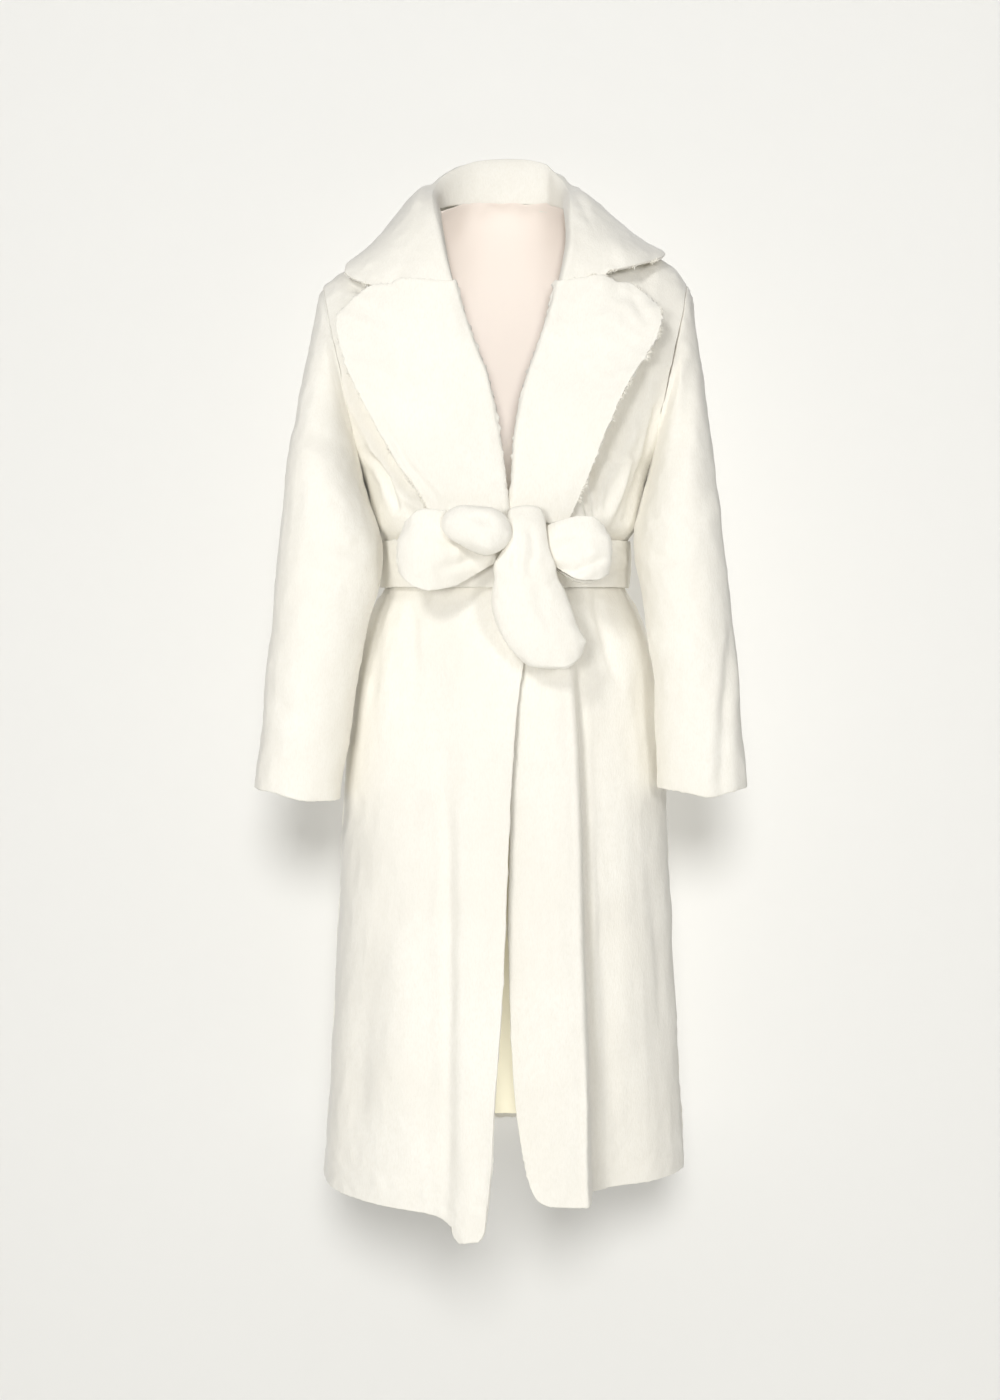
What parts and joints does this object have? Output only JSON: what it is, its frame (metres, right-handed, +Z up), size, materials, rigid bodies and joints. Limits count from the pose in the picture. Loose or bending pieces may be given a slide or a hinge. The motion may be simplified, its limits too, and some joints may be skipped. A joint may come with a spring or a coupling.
{
  "type": "wrap coat",
  "caption": "Long plush wrap coat, filled out as if worn, with wide notched lapels, a turned-down collar, straight sleeves and a padded belt tied in a half bow.",
  "frame": {"origin": "midway between the two neck points of the shoulder seams, where the wearer's neck and shoulders hold the coat", "axes": "+Z up, the wearer faces -Y, the wearer's left is +X"},
  "size_m": [0.598, 0.4114, 1.2941],
  "materials": {
    "plush": "soft short-pile plush, matte",
    "collar_plush": "soft short-pile plush, matte",
    "belt_plush": "soft short-pile plush, padded, matte",
    "lining": "smooth lining cloth, low sheen"
  },
  "bodies": {
    "root": {"back": "plush", "back_lining": "lining", "belt_band": "belt_plush", "belt_knot": "belt_plush", "belt_left_loop": "belt_plush", "belt_right_loop": "belt_plush", "belt_tail": "belt_plush", "collar": "collar_plush", "left_front": "plush", "left_lapel": "collar_plush", "left_sleeve": "plush", "right_front": "plush", "right_lapel": "collar_plush", "right_sleeve": "plush"}
  },
  "joints": []
}
